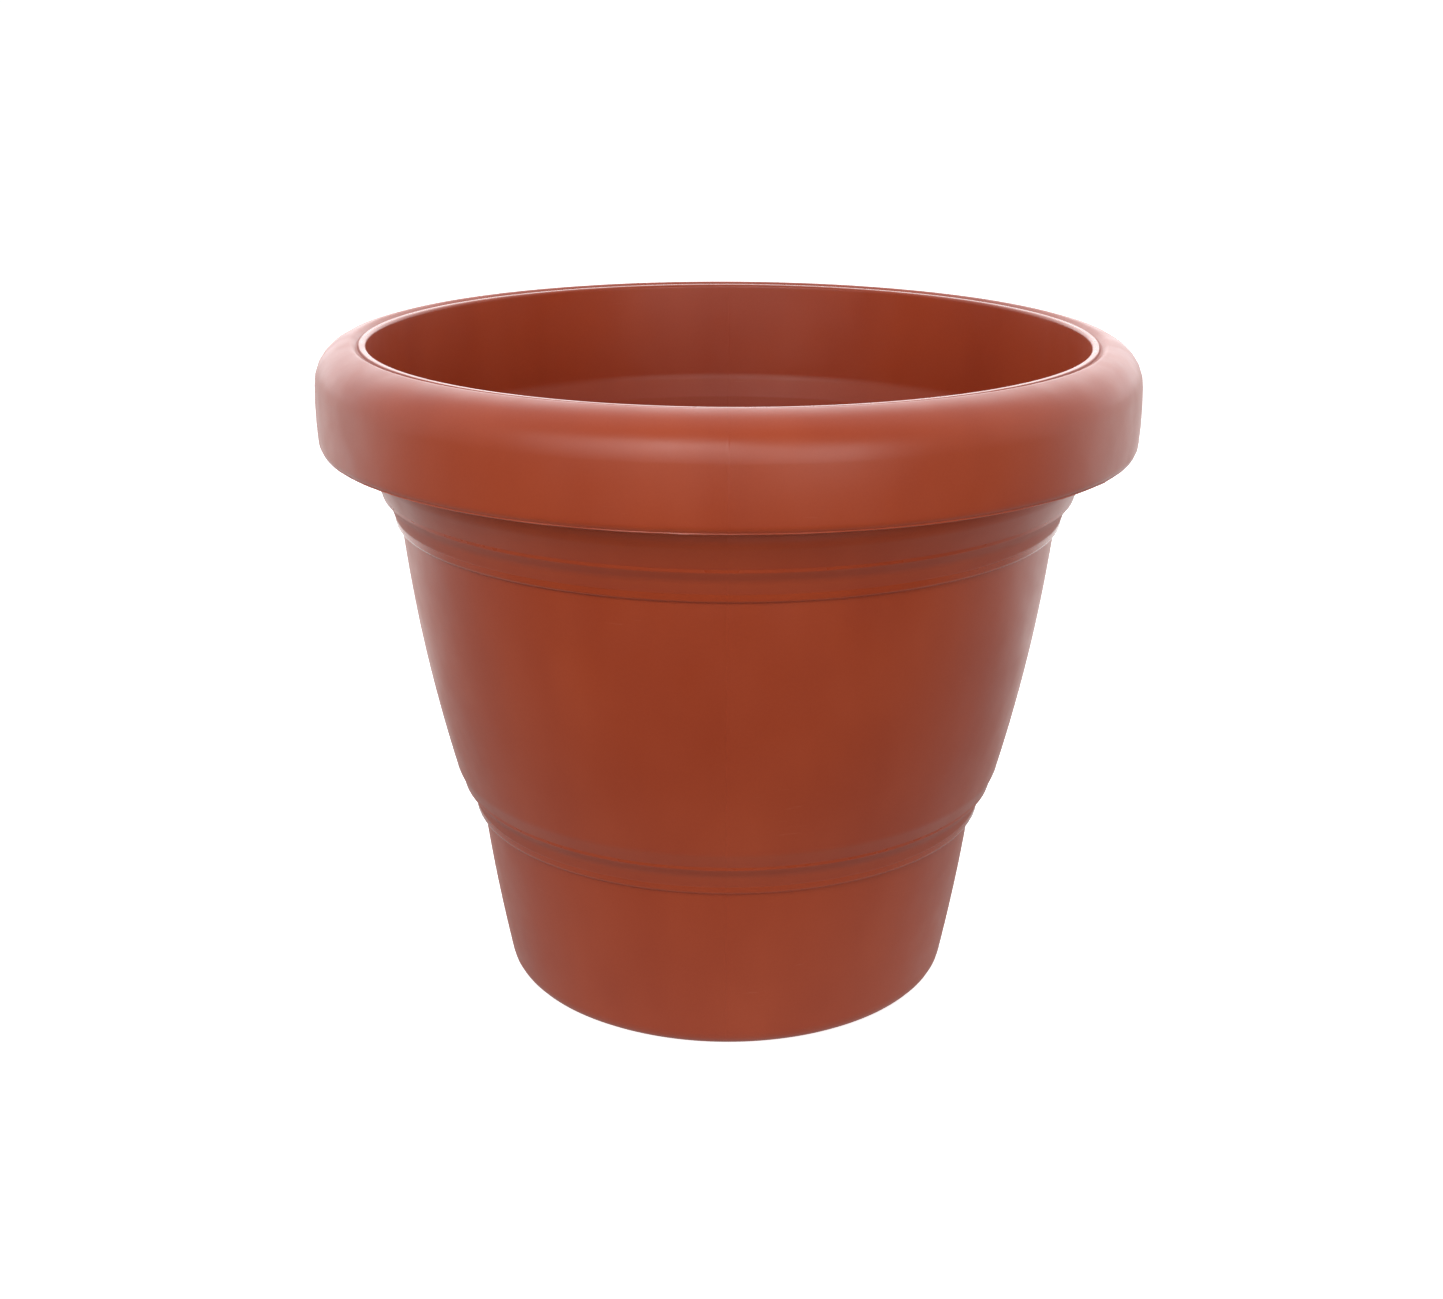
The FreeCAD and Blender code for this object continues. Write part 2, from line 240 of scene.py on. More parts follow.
# %% Sizes of the outline, in millimetres
pot_low, pot_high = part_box("pot_shell")
CREST_RISE = 1.8
LIP = (pot_high.z - pot_low.z) / MM - CREST_RISE
SKIRT_DRAFT = 0.8
RIM = pot_high.x / MM + 0.3
FOOT = 113.6
WALL = 3.0
MOUTH = RIM - 25.3
FLOOR_UNDER = 10.0
FLOOR_TOP = 13.5
FOOT_INNER = FOOT - 18.0
FLOOR_EDGE = FOOT_INNER - 4.0
LOWER_RING = 89.8
UPPER_RING = LIP - 86.2
LOWER_BEAD = 129.65
UPPER_BEAD = MOUTH - 11.2
BELLY_LOW = LOWER_BEAD + 10.7
BELLY_HIGH = UPPER_BEAD - 1.5
BELLY_LOW_RISE = LOWER_RING + 25.0
LOWER_WALL_TOP = LOWER_BEAD - 2.2
Corner = namedtuple("Corner", "radius height rounding bow polish cut", defaults=(0, 0, 0, 0))

# %% Corners from the floor up to the collar
SATIN = 0.0
SHINE = 1.0
HALF_SHINE = 0.45
MATT = -0.35


def ring_corners(bead, undercut):
    """A moulded ring: crisp undercut, glossy bead, duller cove, and the crease above them."""
    return [
        Corner(bead - 0.4, undercut + 0.3, 0.3, polish=SHINE),
        Corner(bead + 1.2, undercut + 0.6, 1.7, polish=SHINE),
        Corner(bead + 1.5, undercut + 4.4, 3.0, polish=MATT),
        Corner(bead + 3.6, undercut + 10.8, 8.0, polish=MATT),
        Corner(bead + 7.2, undercut + 15.5, 0.8, polish=HALF_SHINE),
        Corner(bead + 7.25, undercut + 17.0, 0.5, polish=SATIN),
    ]


under_and_foot = [
    Corner(0, FLOOR_UNDER),
    Corner(FLOOR_EDGE, FLOOR_UNDER, 2.0),
    Corner(FOOT_INNER, 0, 1.5),
    Corner(FOOT, 0, 10.0, bow=0.8),
]
outer_wall = [
    Corner(LOWER_WALL_TOP, LOWER_RING, 0.5, polish=HALF_SHINE),
    *ring_corners(LOWER_BEAD, LOWER_RING),
    Corner(BELLY_LOW, BELLY_LOW_RISE, 14.0, bow=2.4),
    Corner(BELLY_HIGH, UPPER_RING, 0.5, polish=HALF_SHINE),
    *ring_corners(UPPER_BEAD, UPPER_RING),
    Corner(MOUTH + WALL - 1.2, LIP - 57.5, 8.0),
    Corner(MOUTH + WALL, LIP - WALL, 2.0),
]
print("outer wall:", len(outer_wall), "corners")

# %% [markdown]
# ## The rim's lower edge
# The rim turns in at the bottom, and its inner edge was trimmed with a knife after moulding. Round
# the outside corner runs a thin, uneven line of flash, where the two halves of the mould met. It is
# under half a millimetre of plastic, but it catches the light as a fine pale line, so it is real geometry.

# %% Corners of the rim
RIM_BOTTOM = LIP - 47.8
SKIRT = RIM - SKIRT_DRAFT
TRIMMED = SKIRT - 7.5
CORNER_ROUNDING = 5.0
FLASH_HEIGHT = 0.42
FLASH_HALF_FOOT = 0.20
corner_cut = CORNER_ROUNDING * (1 - math.tan(math.pi / 8))
flash_root = Vector((SKIRT - corner_cut / 2, RIM_BOTTOM + corner_cut / 2))
flash_along = Vector((1, 1)).normalized()
flash_out = Vector((1, -1)).normalized()


def flash_corner(along, out, cut):
    """A point of the flash, from its root on the corner's chamfer."""
    spot = flash_root + flash_along * along + flash_out * out
    return Corner(spot.x, spot.y, 0, cut=cut)


CREST = LIP + CREST_RISE
CREST_RADIUS = MOUTH + 7.2
ROLL_TOP = CREST - 3.0
SKIRT_BOW = 0.45
rim = [
    Corner(CREST_RADIUS, CREST - WALL, 2.5),
    Corner(RIM - WALL, ROLL_TOP - WALL, 17.0),
    Corner(SKIRT - WALL, RIM_BOTTOM + WALL, 2.0),
    Corner(TRIMMED, RIM_BOTTOM + WALL, 0.3, cut=1),
    Corner(TRIMMED, RIM_BOTTOM, 0.3),
    Corner(SKIRT - corner_cut, RIM_BOTTOM, CORNER_ROUNDING * 0.85),
    flash_corner(-FLASH_HALF_FOOT, 0, 0),
    flash_corner(-0.06, FLASH_HEIGHT, 1),
    flash_corner(0.06, FLASH_HEIGHT, 0),
    flash_corner(FLASH_HALF_FOOT, 0, 0),
    Corner(SKIRT, RIM_BOTTOM + corner_cut, CORNER_ROUNDING * 0.85, bow=SKIRT_BOW),
    Corner(RIM - SKIRT_BOW, ROLL_TOP, 20.0),
    Corner(CREST_RADIUS, CREST - 0.2, 2.5),
    Corner(MOUTH + 4.8, LIP - 0.5, 0.5, polish=MATT),
    Corner(MOUTH + 3.8, LIP - 0.5, 0.4, polish=MATT),
    Corner(MOUTH + 3.2, LIP + 0.7, 0.6, polish=HALF_SHINE),
    Corner(MOUTH, LIP + 0.7, 1.5),
]
inner_wall = [
    Corner(MOUTH - 1.2, LIP - 52, 10.0, polish=MATT),
    Corner(MOUTH - 5.2, LIP - 63, 0.8, polish=MATT),
    Corner(UPPER_BEAD + 5.0, UPPER_RING + 15.5, 3.0, polish=MATT),
    Corner(BELLY_HIGH - WALL, UPPER_RING - WALL, 6.0, bow=-2.4),
    Corner(BELLY_LOW - WALL, BELLY_LOW_RISE, 14.0),
    Corner(LOWER_WALL_TOP - WALL, LOWER_RING - WALL, 6.0, bow=-0.8),
    Corner(FOOT - 2.48, WALL, 7.0),
    Corner(FOOT_INNER + WALL, WALL, 1.5),
    Corner(FLOOR_EDGE + WALL, FLOOR_TOP, 3.0),
    Corner(0, FLOOR_TOP),
]
pot_corners = under_and_foot + outer_wall + rim + inner_wall
print("whole outline:", len(pot_corners), "corners")

# %% Turn corners into a smooth line
LONGEST_STEP = 9.0
ARC_STEP = math.radians(15)
SUPPORT = 0.7


def corner_point(corner):
    return Vector((corner.radius, corner.height))


def fitted_trims(corners):
    """How far each rounding cuts back its two runs, made smaller where a run is too short."""
    trims = [0.0] * len(corners)
    for i in range(1, len(corners) - 1):
        back = corner_point(corners[i - 1]) - corner_point(corners[i])
        ahead = corner_point(corners[i + 1]) - corner_point(corners[i])
        half_turn = (math.pi - back.angle(ahead)) / 2
        trims[i] = corners[i].rounding * math.tan(half_turn)
    for i in range(len(corners) - 1):
        room = 0.96 * (corner_point(corners[i + 1]) - corner_point(corners[i])).length
        wanted = trims[i] + trims[i + 1]
        if wanted > room:
            trims[i] *= room / wanted
            trims[i + 1] *= room / wanted
    return trims


def arc_points(corners, trims, i):
    """Points of the rounding of one corner, from the run before it to the run after it."""
    here = corner_point(corners[i])
    back = (corner_point(corners[i - 1]) - here).normalized()
    ahead = (corner_point(corners[i + 1]) - here).normalized()
    turn = math.pi - back.angle(ahead)
    radius = trims[i] / math.tan(turn / 2)
    centre = here + (back + ahead).normalized() * (radius / math.cos(turn / 2))
    first = here + back * trims[i] - centre
    side = 1 if back.x * ahead.y - back.y * ahead.x < 0 else -1
    count = max(2, math.ceil(turn / ARC_STEP))
    return [centre + Matrix.Rotation(side * turn * k / count, 2) @ first for k in range(count + 1)]


def run_points(start, end, bow):
    """Points between the ends of a run, with one close to each end to hold the shading there."""
    run = end - start
    outward = Vector((run.y, -run.x)).normalized()
    count = max(1, math.ceil(run.length / LONGEST_STEP))
    shares = [k / count for k in range(1, count)]
    if run.length > 5 * SUPPORT:
        shares = [SUPPORT / run.length] + shares + [1 - SUPPORT / run.length]
    return [start + run * t + outward * bow * 4 * t * (1 - t) for t in shares]


def smooth_line(corners):
    """Rows of (radius, height, polish, cut) along the whole outline."""
    trims = fitted_trims(corners)
    rows = []
    leaving = None
    for i, corner in enumerate(corners):
        before = corners[i - 1] if i else corner
        arc = arc_points(corners, trims, i) if trims[i] > 0 else [corner_point(corner)]
        if leaving is not None:
            for p in run_points(leaving, arc[0], before.bow):
                rows.append((p.x, p.y, before.polish, before.cut))
        for k, p in enumerate(arc):
            share = (k + 0.5) / len(arc)
            polish = before.polish * (1 - share) + corner.polish * share
            rows.append((p.x, p.y, polish, max(before.cut, corner.cut)))
        leaving = arc[-1]
    return rows


pot_rows = smooth_line(pot_corners)
print("outline:", len(pot_rows), "points, widest", round(max(r[0] for r in pot_rows), 2), "mm")

# %% [markdown]
# ## The lathe
# Turning an outline about an axis is a rule, so Geometry Nodes make the pot. The outline is a chain
# of points in the modifier's own object. The tree lays a grid with one column for each step of the
# turn, looks every point's place up in the chain, and wraps the columns round the axis. A real
# moulding isn't perfect, so the tree then lets the wall wander by a fraction of a millimetre and
# makes the flash ragged. Last it adds the pinch-off seam under the floor, and cuts the drain holes
# and the two small notches. Spin in edit mode would also turn the outline, but its steps couldn't be
# changed afterwards.

# %% Helpers for Geometry Nodes
def new_tree(name, inputs):
    """A geometry tree with named inputs. inputs is a list of (name, kind of socket)."""
    tree = bpy.data.node_groups.new(name, "GeometryNodeTree")
    tree.interface.new_socket(name="Geometry", in_out="INPUT", socket_type="NodeSocketGeometry")
    for title, kind in inputs:
        tree.interface.new_socket(name=title, in_out="INPUT", socket_type="NodeSocket" + kind)
    tree.interface.new_socket(name="Geometry", in_out="OUTPUT", socket_type="NodeSocketGeometry")
    return tree, tree.nodes.new("NodeGroupInput"), tree.nodes.new("NodeGroupOutput")


def sampled(tree, chain, kind, value, index):
    """The value that a point of the chain has."""
    made = add_node(tree, "GeometryNodeSampleIndex",
                    {"Geometry": chain, "Value": value, "Index": index},
                    data_type=kind, domain="POINT")
    return made.outputs["Value"]


def named(tree, name):
    """A named attribute that holds one number a point."""
    made = add_node(tree, "GeometryNodeInputNamedAttribute", {"Name": name}, data_type="FLOAT")
    return made.outputs[0]


def stored(tree, geometry, name, value):
    """The geometry with one more named attribute."""
    made = add_node(tree, "GeometryNodeStoreNamedAttribute",
                    {"Geometry": geometry, "Name": name, "Value": value},
                    data_type="FLOAT", domain="POINT")
    return made.outputs["Geometry"]


def edges_held_sharp(tree, geometry, angle):
    """Smooth shading everywhere but across edges that turn by more than the angle."""
    smooth = add_node(tree, "GeometryNodeSetShadeSmooth", {"Geometry": geometry, "Shade Smooth": True},
                      domain="FACE")
    edge = add_node(tree, "GeometryNodeInputMeshEdgeAngle").outputs["Unsigned Angle"]
    turned = add_node(tree, "FunctionNodeCompare", {0: edge, 1: angle},
                      data_type="FLOAT", operation="GREATER_THAN").outputs[0]
    sharp = add_node(tree, "GeometryNodeSetShadeSmooth",
                     {"Geometry": smooth.outputs[0], "Selection": turned, "Shade Smooth": False},
                     domain="EDGE")
    return sharp.outputs[0]


def cut_away(tree, body, tool):
    """The body with a tool's shape taken out of it."""
    made = add_node(tree, "GeometryNodeMeshBoolean", {0: body}, operation="DIFFERENCE", solver="EXACT")
    tree.links.new(tool, made.inputs[1])
    return made.outputs[0]


def joined_solid(tree, *solids):
    """One closed solid out of several that overlap."""
    made = add_node(tree, "GeometryNodeMeshBoolean", operation="UNION", solver="EXACT")
    for solid in solids:
        tree.links.new(solid, made.inputs[1])
    return made.outputs[0]


# %% Turn the chain about the axis
def turned_grid(tree, chain, steps, points):
    """A grid wrapped round the axis: returns (geometry, radius, height, angle, chain index)."""
    columns = maths(tree, "ADD", steps, 1)
    grid = add_node(tree, "GeometryNodeMeshGrid", {"Vertices X": columns, "Vertices Y": points})
    index = add_node(tree, "GeometryNodeInputIndex").outputs[0]
    step = maths(tree, "FLOOR", maths(tree, "DIVIDE", maths(tree, "ADD", index, 0.5), points))
    row = maths(tree, "SUBTRACT", index, maths(tree, "MULTIPLY", step, points))
    place = add_node(tree, "GeometryNodeInputPosition").outputs[0]
    found = sampled(tree, chain, "FLOAT_VECTOR", place, row)
    parts = add_node(tree, "ShaderNodeSeparateXYZ", {0: found})
    angle = maths(tree, "MULTIPLY", maths(tree, "DIVIDE", step, steps), math.tau)
    return grid.outputs["Mesh"], parts.outputs["X"], parts.outputs["Z"], angle, row


# %% Make the flash ragged
Nick = namedtuple("Nick", "angle spread height")
NICKS = [Nick(-95.5, 0.9, 0.5), Nick(-83.0, 0.5, -0.35), Nick(-33.0, 1.6, 0.5),
         Nick(-24.0, 1.0, -0.3), Nick(41.0, 1.2, 0.4)]


def ragged_edge(tree, angle, amount, seed):
    """How far the flash hangs lower at an angle round the rim, in metres."""
    around = add_node(tree, "ShaderNodeCombineXYZ",
                      {"X": maths(tree, "COSINE", angle), "Y": maths(tree, "SINE", angle), "Z": seed})
    wander = add_node(tree, "ShaderNodeTexNoise",
                      {"Vector": around.outputs[0], "Scale": 7.0, "Detail": 5.0, "Roughness": 0.62})
    total = maths(tree, "MULTIPLY", maths(tree, "SUBTRACT", wander.outputs[0], 0.5), 1.5)
    for middle, spread, height in NICKS:
        middle_turn = math.radians(middle % 360)
        gap = maths(tree, "ABSOLUTE", maths(tree, "SUBTRACT", angle, middle_turn))
        bump = remap(tree, gap, 0, math.radians(spread), height, 0, smooth=True)
        total = maths(tree, "ADD", total, bump)
    return maths(tree, "MULTIPLY", total, amount)


# %% Tree for the pot
WELD = 0.004 * MM
SHARP_TURN = math.radians(40)
CUT_SHARE = 0.6
LATHE_INPUTS = [
    ("Turn steps", "Int"), ("Outline points", "Int"), ("Wall wander", "Float"),
    ("Raggedness", "Float"), ("Seed", "Int"), ("Drain holes", "Int"), ("Drain circle", "Float"),
    ("Drain radius", "Float"), ("Floor top", "Float"), ("Floor underside", "Float"),
    ("Foot radius", "Float"), ("Notch width", "Float"), ("Notch height", "Float"),
    ("Seam width", "Float"), ("Seam height", "Float"), ("Seam length", "Float"),
    ("Plastic", "Material"), ("Cut edge", "Material"),
]
lathe, given, result = new_tree("pot_lathe", LATHE_INPUTS)
size = given.outputs
grid, radius, height, angle, row = turned_grid(lathe, size["Geometry"], size["Turn steps"],
                                               size["Outline points"])
polish = sampled(lathe, size["Geometry"], "FLOAT", named(lathe, "polish"), row)
cut = sampled(lathe, size["Geometry"], "FLOAT", named(lathe, "cut"), row)
grid = stored(lathe, stored(lathe, grid, "polish", polish), "cut", cut)

ragged = maths(lathe, "MULTIPLY", ragged_edge(lathe, angle, size["Raggedness"], size["Seed"]), cut)
across = maths(lathe, "MULTIPLY", radius, maths(lathe, "COSINE", angle))
along = maths(lathe, "MULTIPLY", radius, maths(lathe, "SINE", angle))
spot = add_node(lathe, "ShaderNodeCombineXYZ", {"X": across, "Y": along, "Z": height}).outputs[0]
wander = add_node(lathe, "ShaderNodeTexNoise",
                  {"Vector": spot, "W": size["Seed"], "Scale": 11.0, "Detail": 1.5},
                  noise_dimensions="4D")
inward = maths(lathe, "MULTIPLY", wander.outputs[0], size["Wall wander"])
on_axis = remap(lathe, radius, 0.0, 0.02, 0, 1, smooth=True)
true_radius = maths(lathe, "SUBTRACT", radius, maths(lathe, "MULTIPLY", inward, on_axis))
final_spot = add_node(lathe, "ShaderNodeCombineXYZ", {
    "X": maths(lathe, "MULTIPLY", true_radius, maths(lathe, "COSINE", angle)),
    "Y": maths(lathe, "MULTIPLY", true_radius, maths(lathe, "SINE", angle)),
    "Z": maths(lathe, "SUBTRACT", height, ragged)}).outputs[0]
wrapped = add_node(lathe, "GeometryNodeSetPosition", {"Geometry": grid, "Position": final_spot})
closed = add_node(lathe, "GeometryNodeMergeByDistance",
                  {"Geometry": wrapped.outputs[0], "Distance": WELD}).outputs[0]

# %% Drain holes, notches and the pinch-off seam
drill = add_node(lathe, "GeometryNodeMeshCylinder",
                 {"Vertices": 72, "Radius": size["Drain radius"],
                  "Depth": maths(lathe, "MULTIPLY", size["Floor top"], 3.0)})
circle = add_node(lathe, "GeometryNodeMeshCircle",
                  {"Vertices": size["Drain holes"], "Radius": size["Drain circle"]})
turned_circle = add_node(lathe, "GeometryNodeTransform",
                         {"Geometry": circle.outputs[0], "Rotation": (0, 0, math.radians(45))})
drills = add_node(lathe, "GeometryNodeInstanceOnPoints",
                  {"Points": turned_circle.outputs[0], "Instance": drill.outputs["Mesh"]})
real_drills = add_node(lathe, "GeometryNodeRealizeInstances", {0: drills.outputs[0]})
notch_size = add_node(lathe, "ShaderNodeCombineXYZ", {
    "X": size["Notch width"],
    "Y": maths(lathe, "MULTIPLY", size["Foot radius"], 2.1),
    "Z": maths(lathe, "MULTIPLY", size["Notch height"], 2.0)})
notch = add_node(lathe, "GeometryNodeMeshCube", {"Size": notch_size.outputs[0]})
seam_bar = add_node(lathe, "GeometryNodeMeshCylinder", {"Vertices": 24, "Radius": 0.5, "Depth": 1.0})
seam_size = add_node(lathe, "ShaderNodeCombineXYZ", {
    "X": size["Seam width"], "Y": maths(lathe, "MULTIPLY", size["Seam height"], 2.0),
    "Z": size["Seam length"]})
seam_scaled = add_node(lathe, "GeometryNodeTransform",
                       {"Geometry": seam_bar.outputs["Mesh"], "Scale": seam_size.outputs[0]})
seam_place = add_node(lathe, "ShaderNodeCombineXYZ", {"Z": size["Floor underside"]})
seam_laid = add_node(lathe, "GeometryNodeTransform",
                     {"Geometry": seam_scaled.outputs[0], "Translation": seam_place.outputs[0],
                      "Rotation": (math.radians(90), 0, 0)})

moulded = joined_solid(lathe, closed, seam_laid.outputs[0])
moulded = cut_away(lathe, moulded, real_drills.outputs[0])
moulded = cut_away(lathe, moulded, notch.outputs["Mesh"])
# The boolean mixes up the values of the points, so each point takes them again from the uncut pot.
place = add_node(lathe, "GeometryNodeInputPosition").outputs[0]
nearest = add_node(lathe, "GeometryNodeSampleNearest", {"Geometry": closed, "Sample Position": place},
                   domain="POINT").outputs[0]
polish_kept = sampled(lathe, closed, "FLOAT", named(lathe, "polish"), nearest)
cut_kept = sampled(lathe, closed, "FLOAT", named(lathe, "cut"), nearest)
moulded = stored(lathe, stored(lathe, moulded, "polish", polish_kept), "cut", cut_kept)
shaded = edges_held_sharp(lathe, moulded, SHARP_TURN)
realised = add_node(lathe, "GeometryNodeRealizeInstances", {0: shaded})
all_plastic = add_node(lathe, "GeometryNodeSetMaterial",
                       {"Geometry": realised.outputs[0], "Material": size["Plastic"]})
is_cut = add_node(lathe, "FunctionNodeCompare", {0: named(lathe, "cut"), 1: CUT_SHARE},
                  data_type="FLOAT", operation="GREATER_THAN").outputs[0]
edge_marked = add_node(lathe, "GeometryNodeSetMaterial",
                       {"Geometry": all_plastic.outputs[0], "Selection": is_cut,
                        "Material": size["Cut edge"]})
feed(lathe, result.inputs["Geometry"], edge_marked.outputs[0])
print("lathe tree:", len(lathe.nodes), "nodes")

# %% [markdown]
# ## The plastic
# Terracotta-coloured polypropylene is satin, never flat: the pigment is a little uneven, the skin
# has the fine spark texture of the mould, and handling leaves faint scuffs. The rings were polished
# in the mould, so the polish attribute of the outline lowers the roughness there, and raises it where
# it is below zero. All patterns read Object coordinates, in metres, so they stay put on the pot and
# have real sizes. The bump is given as a height in metres and the Bump node's distance is one.

# %% Helpers for finishes
def new_finish(name):
    """A material with a Principled shader. Returns (material, tree, shader)."""
    material = bpy.data.materials.new(name)
    material.use_nodes = True
    tree = material.node_tree
    tree.nodes.clear()
    shader = add_node(tree, "ShaderNodeBsdfPrincipled")
    add_node(tree, "ShaderNodeOutputMaterial", {"Surface": shader.outputs[0]})
    return material, tree, shader


def noise(tree, place, grain, detail=2.0, roughness=0.5, stretch=(1, 1, 1)):
    """Noise whose lumps are about grain metres wide; stretch makes them longer along an axis."""
    squeeze = tuple(1 / s for s in stretch)
    scaled = add_node(tree, "ShaderNodeMapping", {"Vector": place, "Scale": squeeze})
    made = add_node(tree, "ShaderNodeTexNoise",
                    {"Vector": scaled.outputs[0], "Scale": 1 / grain, "Detail": detail,
                     "Roughness": roughness})
    return made.outputs[0]


def tinted(tree, share, first, second):
    """A mix of two colours."""
    made = add_node(tree, "ShaderNodeMix", {0: share, 6: (*first, 1), 7: (*second, 1)}, data_type="RGBA")
    return made.outputs[2]


def blended(tree, share, first, second):
    """A mix of two colours, of which either may be a socket."""
    made = add_node(tree, "ShaderNodeMix", {0: share}, data_type="RGBA")
    for socket, colour in ((made.inputs[6], first), (made.inputs[7], second)):
        feed(tree, socket, colour if isinstance(colour, bpy.types.NodeSocket) else (*colour, 1))
    return made.outputs[2]


# %% Terracotta plastic
CLAY_DEEP = (0.330, 0.0415, 0.0105)
CLAY_LIGHT = (0.400, 0.0600, 0.0175)
CLAY_SCUFF = (0.520, 0.160, 0.090)
SATIN_ROUGHNESS = (0.34, 0.41)
SHINE_ROUGHNESS = (0.10, 0.16)
MATT_ROUGHNESS = 0.85
SCUFF_ROUGHNESS = 0.25
PARTING_LINE_HEIGHT = 0.05 * MM
PLASTIC_IOR = 1.49


def terracotta_plastic(name):
    """Satin pigmented plastic, polished where the outline says so."""
    material, tree, shader = new_finish(name)
    place = add_node(tree, "ShaderNodeTexCoord").outputs["Object"]
    polish_here = add_node(tree, "ShaderNodeAttribute", attribute_name="polish").outputs["Fac"]

    clouds = noise(tree, place, 0.075, detail=2.5)
    streaks = noise(tree, place, 0.030, detail=2.0, stretch=(1, 1, 3.5))
    speckle = noise(tree, place, 0.0011, detail=1.0)
    pigment = maths(tree, "ADD", remap(tree, clouds, 0.3, 0.7, 0.15, 0.65),
                    remap(tree, streaks, 0.3, 0.7, -0.10, 0.25))
    pigment = maths(tree, "ADD", pigment, remap(tree, speckle, 0.3, 0.7, -0.07, 0.07), clamp=True)
    colour = tinted(tree, pigment, CLAY_DEEP, CLAY_LIGHT)

    scratch_lines = noise(tree, place, 0.0035, detail=3.0, roughness=0.7, stretch=(6, 6, 0.5))
    scratch_zones = noise(tree, place, 0.045, detail=1.0)
    scuffs = maths(tree, "MULTIPLY", remap(tree, scratch_lines, 0.66, 0.76, 0, 1),
                   remap(tree, scratch_zones, 0.55, 0.72, 0, 0.35))
    colour = blended(tree, scuffs, colour, CLAY_SCUFF)
    tree.links.new(colour, shader.inputs["Base Color"])

    skin = noise(tree, place, 0.018, detail=3.0)
    satin_roughness = remap(tree, skin, 0.3, 0.7, *SATIN_ROUGHNESS)
    shine_roughness = remap(tree, skin, 0.3, 0.7, *SHINE_ROUGHNESS)
    glossy_here = maths(tree, "MAXIMUM", polish_here, 0.0)
    matt_here = maths(tree, "MAXIMUM", maths(tree, "MULTIPLY", polish_here, -1.0), 0.0)
    polished = add_node(tree, "ShaderNodeMix", {0: glossy_here, 2: satin_roughness, 3: shine_roughness})
    roughness = add_node(tree, "ShaderNodeMix", {0: matt_here, 2: polished.outputs[0], 3: MATT_ROUGHNESS})
    scuffed = maths(tree, "MULTIPLY_ADD", scuffs, SCUFF_ROUGHNESS, roughness.outputs[0])
    tree.links.new(scuffed, shader.inputs["Roughness"])

    satin_share = maths(tree, "SUBTRACT", 1.0, maths(tree, "MULTIPLY", glossy_here, 0.85))
    spark = maths(tree, "MULTIPLY", noise(tree, place, 0.0007, detail=2.0), 0.000007)
    peel = maths(tree, "MULTIPLY", noise(tree, place, 0.006, detail=1.0), 0.000012)
    flow = maths(tree, "MULTIPLY", noise(tree, place, 0.026, detail=1.0, stretch=(1, 1, 1.6)), 0.00016)
    relief = maths(tree, "MULTIPLY_ADD", maths(tree, "ADD", spark, peel), satin_share, flow)
    sides = add_node(tree, "ShaderNodeSeparateXYZ", {0: place})
    from_parting = maths(tree, "ABSOLUTE", sides.outputs["X"])
    parting = remap(tree, from_parting, 0.15 * MM, 0.7 * MM, PARTING_LINE_HEIGHT, 0.0, smooth=True)
    relief = maths(tree, "ADD", relief, parting)
    bump = add_node(tree, "ShaderNodeBump", {"Height": relief, "Strength": 1.0, "Distance": 1.0})
    tree.links.new(bump.outputs[0], shader.inputs["Normal"])
    shader.inputs["IOR"].default_value = PLASTIC_IOR
    shader.inputs["Specular IOR Level"].default_value = 0.5
    return material


plastic = terracotta_plastic("terracotta_plastic")

# %% Knife-cut and flash edge
CUT_PALE = (0.560, 0.140, 0.060)
CUT_CLAY = (0.400, 0.065, 0.020)


def cut_plastic(name):
    """Where the knife or the mould's joint left the plastic stretched: paler and rougher."""
    material, tree, shader = new_finish(name)
    place = add_node(tree, "ShaderNodeTexCoord").outputs["Object"]
    strokes = noise(tree, place, 0.0025, detail=3.0, roughness=0.65, stretch=(3, 3, 0.5))
    patches = noise(tree, place, 0.022, detail=2.0)
    whitened = maths(tree, "MULTIPLY", remap(tree, strokes, 0.35, 0.65, 0.35, 1.0),
                     remap(tree, patches, 0.3, 0.7, 0.4, 1.0))
    tree.links.new(tinted(tree, whitened, CUT_CLAY, CUT_PALE), shader.inputs["Base Color"])
    tree.links.new(remap(tree, strokes, 0.3, 0.7, 0.45, 0.65), shader.inputs["Roughness"])
    drag = maths(tree, "MULTIPLY", strokes, 0.00004)
    bump = add_node(tree, "ShaderNodeBump", {"Height": drag, "Strength": 1.0, "Distance": 1.0})
    tree.links.new(bump.outputs[0], shader.inputs["Normal"])
    return material


cut_edge = cut_plastic("knife_cut_edge")
print("finishes so far:", plastic.name, cut_edge.name)

# %% [markdown]
# ## Turn the pot
# The chain of points becomes an object with two attributes, the lathe tree turns it, and the result
# is taken as a plain mesh. The modifier goes before the frame hears of the piece. One check tells
# whether the faces point outwards: the volume inside a closed mesh is positive only then.

# %% Build the pot
def chain_object(name, rows):
    """An open chain of points in the XZ plane, with the polish and cut of each."""
    data = bpy.data.meshes.new(name)
    spots = [(r * MM, 0, h * MM) for r, h, _, _ in rows]
    data.from_pydata(spots, [(i, i + 1) for i in range(len(rows) - 1)], [])
    for column, attribute in ((2, "polish"), (3, "cut")):
        layer = data.attributes.new(attribute, "FLOAT", "POINT")
        layer.data.foreach_set("value", [point[column] for point in rows])
    made = bpy.data.objects.new(name, data)
    scene.collection.objects.link(made)
    return made


